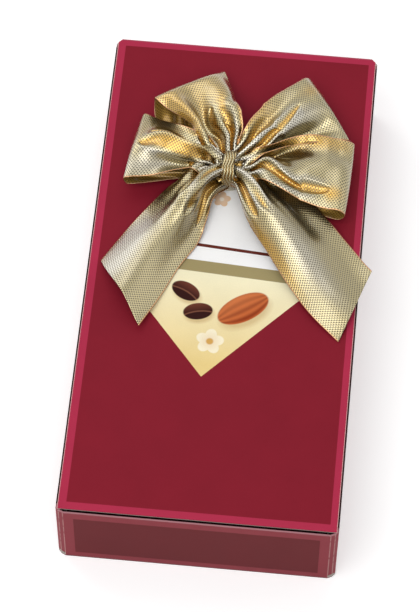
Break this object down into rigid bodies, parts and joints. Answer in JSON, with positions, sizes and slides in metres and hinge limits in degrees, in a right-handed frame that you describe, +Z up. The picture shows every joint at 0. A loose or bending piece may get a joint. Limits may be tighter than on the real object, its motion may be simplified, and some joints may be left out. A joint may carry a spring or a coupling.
{
  "type": "chocolate box",
  "caption": "Flat folding carton of pralines with a back-hinged tuck-in lid, dust flaps, a moulded tray, a cushion pad and a ribbon bow on the lid.",
  "frame": {"origin": "centre of the carton's underside", "axes": "+Z up, +Y along the box towards the lid's crease, +X to the right seen from the tuck end"},
  "size_m": [0.1011, 0.194, 0.0468],
  "materials": {
    "boxboard": "satin",
    "ribbon": "satin",
    "tray_plastic": "gloss",
    "pad_paper": "satin",
    "adhesive": "matte",
    "milk_chocolate": "satin",
    "dark_chocolate": "satin",
    "white_chocolate": "satin",
    "almond": "matte"
  },
  "bodies": {
    "carton": {"wall_front": "boxboard", "wall_back": "boxboard", "wall_left": "boxboard", "wall_right": "boxboard", "corner_front_left": "boxboard", "corner_front_right": "boxboard", "corner_back_left": "boxboard", "corner_back_right": "boxboard", "glue_seam": "boxboard", "bottom_panel": "boxboard", "bottom_flap_left": "boxboard", "bottom_flap_right": "boxboard", "praline_tray": "tray_plastic", "praline_milk_1": "milk_chocolate", "praline_milk_2": "milk_chocolate", "praline_milk_3": "milk_chocolate", "praline_dark_1": "dark_chocolate", "praline_dark_2": "dark_chocolate", "praline_dark_3": "dark_chocolate", "praline_heart_1": "white_chocolate", "praline_heart_2": "white_chocolate", "almond_1": "almond", "almond_2": "almond", "almond_3": "almond", "cushion_pad": "pad_paper"},
    "lid": {"lid_panel": "boxboard", "bow_adhesive": "adhesive", "bow_knot": "ribbon", "bow_tie": "ribbon", "bow_loop_back_left": "ribbon", "bow_loop_back_right": "ribbon", "bow_loop_front_left": "ribbon", "bow_loop_front_right": "ribbon", "bow_tail_left": "ribbon", "bow_tail_right": "ribbon"},
    "tuck": {"tuck_flap": "boxboard"},
    "flap_left": {"dust_flap_left": "boxboard"},
    "flap_right": {"dust_flap_right": "boxboard"}
  },
  "joints": [
    {"name": "lid_crease", "type": "hinge", "parent": "carton", "child": "lid", "pos_m": [0, 0.097, 0.0334], "axis": [-1, 0, 0], "range_deg": [0, 110]},
    {"name": "tuck_crease", "type": "hinge", "parent": "lid", "child": "tuck", "pos_m": [0, -0.0956, 0.034], "axis": [-1, 0, 0], "range_deg": [0, 66]},
    {"name": "dust_crease_left", "type": "hinge", "parent": "carton", "child": "flap_left", "pos_m": [-0.048, 0, 0.0327], "axis": [0, -1, 0], "range_deg": [0, 66]},
    {"name": "dust_crease_right", "type": "hinge", "parent": "carton", "child": "flap_right", "pos_m": [0.048, 0, 0.0327], "axis": [0, 1, 0], "range_deg": [0, 66]}
  ],
  "couplings": [
    {"joint": "tuck_crease", "follows": "lid_crease", "ratio": 0.5},
    {"joint": "dust_crease_left", "follows": "lid_crease", "ratio": 0.6},
    {"joint": "dust_crease_right", "follows": "lid_crease", "ratio": 0.6}
  ]
}
